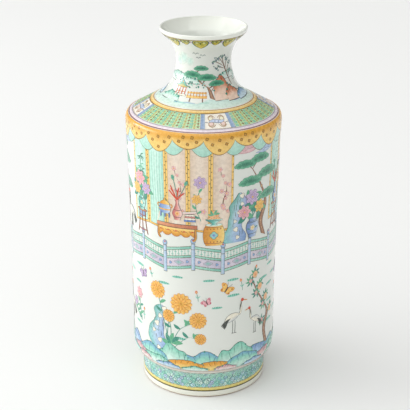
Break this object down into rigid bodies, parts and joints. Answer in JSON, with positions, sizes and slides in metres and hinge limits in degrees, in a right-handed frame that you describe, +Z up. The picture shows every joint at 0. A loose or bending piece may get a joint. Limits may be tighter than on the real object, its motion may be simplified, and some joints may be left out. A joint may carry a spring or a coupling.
{
  "type": "rouleau vase",
  "caption": "Tall porcelain vase with a cylindrical body, sloping shoulder, waisted neck, flared mouth and ringed foot, with painted enamel borders.",
  "frame": {"origin": "centre of the foot's rest face, on the vase's axis", "axes": "+Z up along the vase's axis, and the front of the picture faces -Y"},
  "size_m": [0.1856, 0.1856, 0.4505],
  "materials": {
    "porcelain": "gloss",
    "white_glaze": "gloss",
    "yellow_enamel": "gloss",
    "olive_enamel": "gloss",
    "green_enamel": "gloss",
    "turquoise_enamel": "gloss",
    "lilac_enamel": "gloss"
  },
  "bodies": {
    "root": {"foot_ring": "porcelain", "base_disc": "porcelain", "heel": "porcelain", "lower_body": "porcelain", "upper_body": "porcelain", "shoulder_edge": "porcelain", "shoulder": "porcelain", "neck_root": "porcelain", "neck": "porcelain", "mouth_rim": "porcelain", "foot_line": "yellow_enamel", "foot_band": "turquoise_enamel", "shoulder_line": "lilac_enamel", "neck_line": "yellow_enamel", "mouth_border": "olive_enamel", "shoulder_reserve_1": "white_glaze", "shoulder_reserve_2": "white_glaze", "shoulder_reserve_3": "white_glaze", "shoulder_reserve_4": "white_glaze", "shoulder_diaper_1": "green_enamel", "shoulder_diaper_2": "green_enamel", "shoulder_diaper_3": "green_enamel", "shoulder_diaper_4": "green_enamel"}
  },
  "joints": []
}
